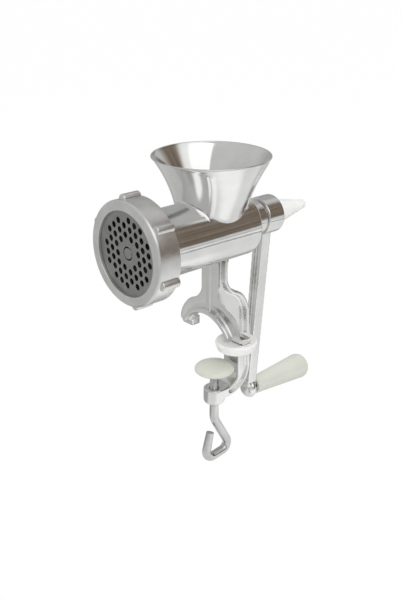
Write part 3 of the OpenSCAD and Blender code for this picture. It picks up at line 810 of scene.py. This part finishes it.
@dataclass
class Outlet(Assembly):
    """The ring nut with its lugs, and the plate, knife and stud behind it."""

    front: float = low("ring_nut", 0)
    rear: float = high("ring_nut", 0)
    radius: float = 41.2
    mouth_r: float = 33.0
    thread_r: float = 38.1
    lip: float = 3.0
    lug_r: float = 3.75
    lug_proud: float = 3.6
    lug_turn: float = 38.0
    lug_count: int = 6
    lug_front: float = 3.3
    lug_rear: float = 1.0
    lug_sides: int = 48
    stud_land: float = 4.3
    stud_slope: float = 5.0

    def lugs(self) -> Object:
        """Bars let into the ring: p = (R + r cos t) * u + r sin t * v for each lug's u, v.

        Returns:
            The six lugs as one object.
        """
        start, end = self.front + self.lug_front, self.rear - self.lug_rear
        outline = rounded([
            (start, 0.0, 0.0), (start, self.lug_r, 1.3), (end, self.lug_r, 0.9), (end, 0.0, 0.0),
        ])
        t = around(self.lug_sides)[None, None, :]
        number = np.arange(self.lug_count)[:, None, None]
        turn = math.radians(self.lug_turn) + TAU * number / self.lug_count
        along, r = outline[None, :, :1], outline[None, :, 1:]
        out = self.radius + self.lug_proud - self.lug_r + r * np.cos(t)
        over = r * np.sin(t)
        points = Axis.BARREL.place(along, np.hypot(out, over), turn + np.arctan2(over, out))
        one = grid_faces(len(outline), self.lug_sides)
        faces = (one[None] + len(outline) * self.lug_sides * number).reshape(-1, 4)
        return skin("ring_lugs", points, faces, sharp=50.0)

    def stud(self) -> Object:
        """Wears the stud and bevels its end: x >= x0 + slope * (r - land).

        Returns:
            The stud.
        """
        stud = softened("stud_turning", "knife_stud", voxel=0.3, passes=3)
        points = points_of(stud)
        past = np.hypot(points[:, 1], points[:, 2] - AXIS_Z) - self.stud_land
        bevel = low("knife_stud", 0) + self.stud_slope * np.maximum(past, 0.0)
        points[:, 0] = np.maximum(points[:, 0], bevel)
        set_points(stud, points)
        return stud

    def build(self) -> None:
        """Turns the ring, sets its lugs and wears the edges of the plate and the stud."""
        seat = self.front + self.lip
        ring = rounded([
            (seat, self.thread_r, 0.6), (seat, self.mouth_r, 0.4), (self.front, self.mouth_r, 0.9),
            (self.front, self.radius, 2.6), (self.rear, self.radius, 0.9),
            (self.rear, self.thread_r, 0.7),
        ], steps=10)
        casting = turned("ring_casting", ring, Axis.BARREL, sides=192, sharp=50.0)
        self.put(casting, "ring", Slot.TUMBLED, "ring_nut")
        self.put(self.lugs(), "ring", Slot.TUMBLED)
        disc = softened("plate_disc", "hole_plate", voxel=0.42, passes=3)
        self.put(disc, "plate", Slot.PLATE, "hole_plate")
        self.put(self.stud(), "drive", Slot.PLATE, "knife_stud")
        self.keep("knife", Slot.PLATE)


@dataclass
class Drive(Assembly):
    """The feed screw, the crank with its grip and the knob that holds it."""

    knob_base: float = low("crank_knob", 0)
    knob_r: float = 14.0
    knob_brim: float = 2.0
    neck_at: float = 5.2
    neck_r: float = 10.6
    knob_len: float = 41.0
    tip_r: float = 3.3
    tip_crown: float = 0.4
    grip_front: float = low("handle_grip", 0)
    grip_rear: float = high("handle_grip", 0)
    grip_r: float = 7.8
    grip_end_r: float = 12.3
    bore_r: float = 4.1
    recess_r: float = 6.6
    recess: float = 6.8
    spindle_end: float = high("grip_spindle", 0)
    spindle_gap: float = 0.1
    spindle_head: float = 2.5
    spindle_bevel: float = 0.4
    eye_front: float = low("grip_spindle", 0)
    eye_rear: float = low("grip_washer", 0)
    eye_middle: float = (eye_front + eye_rear) / 2.0
    eye_r: float = 8.9
    eye_rim: float = 0.97
    arm_half: float = 6.0
    arm_edge: Pair = (-1.5, 1.0)
    arm_root: Pair = (2.0, 7.0)
    ball_r: float = 9.1
    ball_over: float = 0.2
    ball_points: int = 49

    def dome(self, radius: Array) -> Array:
        """Share of the eye's depth left at a radius: (1 - (r / R)^2)^0.5."""
        return np.sqrt(1.0 - np.clip(radius / self.eye_r, 0.0, self.eye_rim) ** 2)

    def round_eye(self, crank: Object) -> None:
        """Wears the eye to a ball, x = m + (x - m) * dome(r), and leaves the arm above it.

        Args:
            crank: the crank's own softened mesh.
        """
        points = points_of(crank)
        _, side, up = (points - Axis.GRIP.value[0]).T
        radius = np.hypot(side, up)
        aside = smooth_step(np.abs(side) - self.arm_half, *self.arm_edge)
        away = 1.0 - smooth_step(up, *self.arm_root) * (1.0 - aside)
        worn = away * (radius < self.eye_r) * (1.0 - self.dome(radius))
        points[:, 0] = self.eye_middle + (points[:, 0] - self.eye_middle) * (1.0 - worn)
        set_points(crank, points)

    def eye_ball(self) -> Array:
        """Draws the eye's polished ball over the casting: x = m - h cos t, r = R sin t.

        Returns:
            Its outline.
        """
        t = np.linspace(0.0, math.pi, self.ball_points)
        half = self.eye_rear - self.eye_middle + self.ball_over
        along = self.eye_middle - half * np.cos(t)
        return np.c_[along, self.ball_r * np.sin(t).clip(0.0)]

    def spindle(self) -> Array:
        """Draws the grip's spindle, whose riveted end follows the ball of the eye.

        Returns:
            Its outline.
        """
        rod_r, head_r = self.bore_r - self.spindle_gap, self.recess_r - self.spindle_gap
        r = np.linspace(0.0, rod_r, ARC_STEPS + 1)
        depth = self.eye_middle - self.eye_front
        end = np.c_[self.eye_middle - depth * self.dome(r), r]
        last, bevel = self.spindle_end, self.spindle_bevel
        head_x = last - self.spindle_head
        head = [
            [head_x, rod_r], [head_x, head_r], [last - bevel, head_r], [last, head_r - bevel],
            [last, 0.0],
        ]
        return np.concatenate([end, head])

    def build(self) -> None:
        """Builds the softened castings and the turned plastic pieces."""
        crank = softened("crank_casting", "crank_arm", voxel=0.55, passes=8)
        self.round_eye(crank)
        self.put(crank, "drive", Slot.POLISHED, "crank_arm")
        self.put(turned("crank_eye", self.eye_ball(), Axis.GRIP), "drive", Slot.POLISHED)
        rod = turned("spindle_rod", self.spindle(), Axis.GRIP, sides=64)
        self.put(rod, "drive", Slot.PLATED, "grip_spindle")
        feed = softened("feed_screw_casting", "feed_screw", voxel=0.7, passes=5)
        self.put(feed, "drive", Slot.TUMBLED, "feed_screw")
        base, tip = self.knob_base, self.knob_base + self.knob_len
        knob = rounded([
            (base, 0.0, 0.0), (base, self.knob_r, 0.9), (base + self.knob_brim, self.knob_r, 1.2),
            (base + self.neck_at, self.neck_r, 6.0), (tip - self.tip_crown, self.tip_r, 2.6),
            (tip, 0.0, 0.0),
        ])
        self.put(turned("knob_cone", knob, Axis.BARREL), "knob", Slot.WHITE, "crank_knob")
        recess = self.grip_rear - self.recess
        grip = rounded([
            (self.grip_front, self.bore_r, 0.3), (self.grip_front, self.grip_r, 1.2),
            (self.grip_rear, self.grip_end_r, 6.5), (self.grip_rear, self.recess_r, 0.8),
            (recess, self.recess_r, 0.3), (recess, self.bore_r, 0.2),
        ], steps=12)
        self.put(turned("grip_moulding", grip, Axis.GRIP), "grip", Slot.IVORY, "handle_grip")
        for node in ("grip_washer", "knob_washer", "knob_stud"):
            self.keep(node, Slot.PLATED)
        self.keep("thrust_washer", Slot.WHITE)


@dataclass
class Clamp(Assembly):
    """The bent clamp screw and the mushroom pad on its end."""

    rod_r: float = 4.0
    top: float = high("clamp_screw", 2)
    thread_top: float = -40.0
    thread_end: float = -64.0
    thread_pitch: float = 1.25
    thread_depth: float = 0.55
    thread_in: Pair = (-1.0, 2.0)
    thread_out: Pair = (-1.0, 1.0)
    turn_points: int = 8
    corners: tuple[Pair, ...] = ((0.0, -82.0), (20.0, -116.8), (-11.2, -120.6), (-4.6, -94.2))
    bends: tuple[float, ...] = (20.0, 7.0, 7.0)
    bend_steps: int = 14
    lead: float = 9.0
    aside: float = 60.0
    least_step: float = 1e-4
    tip_run: float = 0.8
    tip_bevel: float = 0.6
    pad_r: float = 17.0
    pad_top: float = high("clamp_pad", 2)
    pad_bottom: float = low("clamp_pad", 2)
    pad_lip: float = 5.0
    pad_crown: float = 1.2
    pad_power: float = 0.86
    pad_points: int = 49
    socket_gap: float = 0.05
    sides: int = 40

    def path(self) -> Array:
        """Lays the rod's middle line, less the two corners that only give its ends a direction.

        Returns:
            Its points in the XZ plane, close together on the thread and in the bends.
        """
        straight = np.arange(self.top, self.thread_end, -self.thread_pitch / self.turn_points)
        shaft = np.c_[np.zeros(len(straight)), straight]
        corners = [(0.0, self.thread_end + self.lead, 0.0), (0.0, self.thread_end, 0.0)]
        corners += [(x, z, r) for (x, z), r in zip(self.corners, (*self.bends, 0.0))]
        corners += [(self.aside, self.thread_end, 0.0)]
        two = 2 * (self.bend_steps + 1)
        line = np.concatenate([shaft, rounded(corners, self.bend_steps)[two : 1 - two]])
        step = np.linalg.norm(np.diff(line, axis=0), axis=1)
        return line[np.concatenate([[True], step > self.least_step])]

    def rod(self) -> Array:
        """Sweeps a circle along the line, with p = c + r (cos t * n + sin t * y), and caps it.

        Returns:
            Rings of points.
        """
        line = self.path()
        step = np.linalg.norm(np.diff(line, axis=0), axis=1)
        run = np.concatenate([[0.0], np.cumsum(step)])
        ahead = unit(np.gradient(line, run, axis=0))
        left = np.c_[-ahead[:, 1], ahead[:, 0]]
        t = around(self.sides)[None, :]
        turn = (run[:, None] / self.thread_pitch + t / TAU) % 1.0
        height = line[:, 1:]
        threaded = smooth_step(height - self.thread_end, *self.thread_in)
        threaded *= 1.0 - smooth_step(height - self.thread_top, *self.thread_out)
        groove = self.thread_depth * np.abs(2.0 * turn - 1.0) * threaded
        bevel = self.tip_bevel * (1.0 - smooth_step(run[-1] - run, 0.0, self.tip_run))
        radius = self.rod_r - groove - bevel[:, None]
        across = radius * np.cos(t)
        x, z = (line[:, k : k + 1] + across * left[:, k : k + 1] for k in (0, 1))
        rings = np.stack([x, -radius * np.sin(t), z], -1)
        first, last = (np.broadcast_to(ring.mean(0), (1, *ring.shape)) for ring in rings[[0, -1]])
        return np.concatenate([first, rings, last])

    def pad(self) -> Array:
        """Draws the pad, a lens over a bored socket: r = R cos(t)^p and z = w + h sin t.

        Returns:
            Its outline.
        """
        t = np.linspace(-QUARTER, QUARTER, self.pad_points)
        bottom = self.pad_bottom - self.pad_crown
        widest = bottom + self.pad_lip
        tall = np.where(t < 0.0, self.pad_lip, self.pad_top + self.pad_crown - widest)
        radius = self.pad_r * np.maximum(np.cos(t), 0.0) ** self.pad_power
        lens = np.c_[widest + tall * np.sin(t), radius]
        bore = self.rod_r + self.socket_gap
        socket = [[self.top, 0.0], [self.top, bore], [bottom, bore]]
        return np.concatenate([lens[(t > 0.0) | (radius > bore)], socket])

    def build(self) -> None:
        """Sweeps the rod with its thread and turns the pad."""
        points = self.rod()
        faces = grid_faces(len(points), self.sides, wrap_rows=False)
        rod = skin("clamp_rod", points, faces, sharp=50.0)
        self.put(rod, "screw", Slot.PLATED, "clamp_screw")
        self.put(turned("pad_moulding", self.pad(), Axis.SCREW), "pad", Slot.IVORY, "clamp_pad")


@dataclass(frozen=True)
class Patch:
    """A soft round patch of the mirrored room: direction, edge as cosines, colour and streaks."""

    toward: Triple
    start: float
    full: float
    shade: Triple
    streaks: float = 0.0

    def tones(self) -> list[tuple[float, ...]]:
        """Colours between the streaks and in them: shade * (1 - s) and shade * (1 + 2 s)."""
        gains = (1.0 - self.streaks, 1.0 + 2.0 * self.streaks)
        return [(*(part * gain for part in self.shade), 1.0) for gain in gains]


@dataclass(frozen=True)
class Lamp:
    """A square soft lamp: its place and side in metres and its power in watts."""

    name: str
    place: Triple
    side: float
    power: float


@dataclass
class Studio:
    """Camera, lamps, floor and surroundings."""

    eye: Triple = (-476.64, -512.46, 324.45)
    aim: Triple = (-0.10, 17.66, 24.81)
    focal_px: float = 914.54
    tall_px: float = 601.0
    sensor: float = 36.0
    clip: Pair = (10.0, 60000.0)
    lamp_aim: Triple = (0.0, 0.0, 50.0)
    lamps: tuple[Lamp, ...] = (
        Lamp("key", (-0.75, -0.95, 1.05), 0.8, 12.0),
        Lamp("fill", (0.9, -0.4, 0.9), 0.7, 4.0),
        Lamp("back", (-0.2, 1.0, 0.9), 0.9, 5.0),
    )
    floor_z: float = -126.0
    floor_reach: float = 12000.0
    floor_grey: float = 0.86
    sheet_at: Pair = (50.0, -120.0)
    sheet_edge: Pair = (349.2, 374.4)
    sheet_fall: Pair = (75.0, 135.0)
    sheet_tone: Pair = (1.07, 0.80)
    rear_fall: Pair = (30.0, 70.0)
    rear_tone: Pair = (1.0, 0.52)
    whiteness: float = 0.985
    ambient: float = 0.62
    room_grey: Triple = (0.60, 0.60, 0.60)
    streak_size: Triple = (3.0, 3.0, 30.0)
    hem_toward: Triple = (0.62, -0.78, 0.0)
    hem_edge: Pair = (0.80, 0.90)
    hem: tuple[Pair, ...] = (
        (-0.26, 1.0), (-0.235, 1.0), (-0.228, 0.16), (-0.20, 0.16), (-0.192, 1.0), (-0.150, 1.0),
        (-0.140, 0.28), (-0.118, 0.28), (-0.110, 1.0), (-0.085, 0.85), (-0.070, 0.14),
    )
    patches: tuple[Patch, ...] = (
        Patch((-0.62, 0.68, -0.35), 0.30, 0.80, (0.535, 0.535, 0.525)),
        Patch((-0.50, 0.79, -0.35), 0.989, 0.998, (0.46, 0.46, 0.45)),
        Patch((-0.60, 0.68, -0.42), 0.987, 0.996, (0.62, 0.62, 0.61)),
        Patch((0.60, 0.72, 0.35), 0.75, 0.92, (0.34, 0.34, 0.335), 0.3),
        Patch((0.66, -0.52, 0.54), 0.90, 0.97, (0.24, 0.222, 0.20), 0.85),
        Patch((0.66, -0.72, 0.22), 0.60, 0.90, (0.125, 0.10, 0.078), 0.95),
        Patch((0.16, -0.74, 0.65), 0.88, 0.975, (1.0, 1.0, 0.99)),
        Patch((-0.20, -0.62, 0.76), 0.89, 0.935, (1.3, 1.3, 1.3)),
    )

    @staticmethod
    def face(made: Object, place: Vector, aim: Vector) -> None:
        """Puts a camera or a lamp at a place and turns it to a point, both in metres."""
        made.location = place
        made.rotation_euler = (aim - place).to_track_quat("-Z", "Y").to_euler()

    def camera(self) -> None:
        """Places the camera where the photograph was taken from."""
        data = bpy.data.cameras.new("view")
        data.sensor_width = self.sensor
        data.lens = self.focal_px / self.tall_px * self.sensor
        data.clip_start, data.clip_end = metres(*self.clip)
        made = linked("view", data)
        self.face(made, Vector(self.eye) * MM, Vector(self.aim) * MM)
        bpy.context.scene.camera = made

    def light(self, lamp: Lamp) -> None:
        """Adds a lamp that faces the middle of the object and that nothing mirrors.

        Args:
            lamp: what to add.
        """
        data = bpy.data.lights.new(lamp.name, "AREA")
        data.energy, data.size = lamp.power, lamp.side
        made = linked(lamp.name, data)
        self.face(made, Vector(lamp.place), Vector(self.lamp_aim) * MM)
        made.visible_camera = made.visible_glossy = False

    @staticmethod
    def by_ray(kit: NodeKit, plain: Node, mirrored: Node, white: Node, share: float) -> Node:
        """Parts what the camera sees from what bright metal mirrors and what lights the rest.

        Args:
            plain: the shader for matt things.
            mirrored: the shader for bright metal.
            white: the shader for the camera.
            share: how much of white the camera sees, from 0 to 1.

        Returns:
            The node with the shader.
        """
        ray = kit.add("LightPath").outputs
        lit = kit.add("MixShader", ray["Is Glossy Ray"], plain, mirrored)
        seen = kit.add("Math", ray["Is Camera Ray"], share, operation="MULTIPLY")
        return kit.add("MixShader", seen, lit, white)

    def floor(self) -> None:
        """A wide floor, white to the camera, where bright metal mirrors a sheet in a dim room."""
        corner = np.array([[-1, -1], [1, -1], [1, 1], [-1, 1]]) * self.floor_reach
        points = np.c_[corner, np.full(4, self.floor_z)]
        made = skin("floor", points, np.array([[0, 1, 2, 3]]))
        look = bpy.data.materials.new("floor_look")
        kit = NodeKit.blank(look)
        where = kit.add("TexCoord").outputs["Object"]
        middle = metres(*self.sheet_at, self.floor_z)
        apart = kit.add("VectorMath", where, middle, operation="DISTANCE")
        edge = kit.spread(apart, metres(*self.sheet_edge), ease="SMOOTHSTEP")
        paper = kit.spread(apart, metres(*self.sheet_fall), self.sheet_tone)
        along_y = kit.add("SeparateXYZ", where).outputs["Y"]
        rear = kit.spread(along_y, metres(*self.rear_fall), self.rear_tone)
        dimmed = kit.add("Math", paper, rear, operation="MULTIPLY")
        heading = kit.add("VectorMath", where, operation="NORMALIZE")
        mirrored = kit.mix(edge, dimmed, self.hemmed(kit, heading))
        grey = (self.floor_grey, self.floor_grey, self.floor_grey, 1.0)
        matt = kit.add("BsdfDiffuse", Color=grey)
        white = kit.add("Emission", Color=WHITE, Strength=1.0)
        glint = kit.add("Emission", Color=mirrored, Strength=1.0)
        kit.add("OutputMaterial", self.by_ray(kit, matt, glint, white, self.whiteness))
        made.data.materials.append(look)

    def hemmed(self, kit: NodeKit, heading: Source) -> Source:
        """Colour of the floor past the sheet: the room, with strips to the near right.

        Args:
            heading: direction from the object to the point, of length 1.

        Returns:
            The node with the colour.
        """
        lowest, highest = self.hem[0][0], self.hem[-1][0]
        z = kit.add("SeparateXYZ", heading).outputs["Z"]
        strips = kit.add("ValToRGB", kit.spread(z, (lowest, highest)))
        stops = strips.color_ramp.elements
        places = [(level - lowest) / (highest - lowest) for level, _ in self.hem]
        for place in places[1:-1]:
            stops.new(place)
        for stop, place, (_, grey) in zip(stops, places, self.hem):
            stop.position, stop.color = place, (grey, grey, grey, 1.0)
        near = kit.add("VectorMath", heading, self.hem_toward, operation="DOT_PRODUCT")
        below = kit.add("Math", z, highest, operation="LESS_THAN")
        share = kit.add("Math", kit.spread(near, self.hem_edge), below, operation="MULTIPLY")
        return kit.mix(share, self.room(kit, heading), strips)

    def room(self, kit: NodeKit, heading: Source) -> Source:
        """Colour of the dim room in a direction: grey all round, with soft round patches over it.

        Args:
            heading: the direction, of length 1.

        Returns:
            The node with the colour.
        """
        level = kit.add("VectorMath", heading, self.streak_size, operation="MULTIPLY")
        noise = kit.add("TexNoise", Vector=level, Scale=1.0, Detail=3.0, Roughness=0.6)
        streak = kit.spread(noise, NOISE_SPAN)
        colour = (*self.room_grey, 1.0)
        for patch in self.patches:
            toward = Vector(patch.toward).normalized()
            near = kit.add("VectorMath", heading, toward, operation="DOT_PRODUCT")
            mask = kit.spread(near, (patch.start, patch.full), ease="SMOOTHSTEP")
            colour = kit.mix(mask, colour, kit.mix(streak, *patch.tones()))
        return colour

    def surroundings(self) -> None:
        """White to the camera, even light on matt things and a dim room for metal to mirror."""
        world = bpy.data.worlds.new("studio")
        bpy.context.scene.world = world
        kit = NodeKit.blank(world)
        heading = kit.add("TexCoord").outputs["Generated"]
        soft = kit.add("Background", Color=WHITE, Strength=self.ambient)
        white = kit.add("Background", Color=WHITE, Strength=1.0)
        glint = kit.add("Background", Color=self.room(kit, heading), Strength=1.0)
        kit.add("OutputWorld", self.by_ray(kit, soft, glint, white, 1.0))

    def build(self) -> None:
        """Sets up the view, the light and what the metal mirrors."""
        bpy.context.scene.view_settings.view_transform = "Standard"
        self.camera()
        self.floor()
        self.surroundings()
        for lamp in self.lamps:
            self.light(lamp)


def main() -> None:
    """Builds each sub-assembly in turn."""
    logging.basicConfig(level=logging.INFO, format="%(name)s: %(message)s")
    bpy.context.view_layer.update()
    for part in (Hopper(), Barrel(), Stand(), Outlet(), Drive(), Clamp()):
        part.build()
        log.info("%s: %d pieces", type(part).__name__, len(part.pieces))
    Studio().build()


if __name__ == "__main__":
    main()
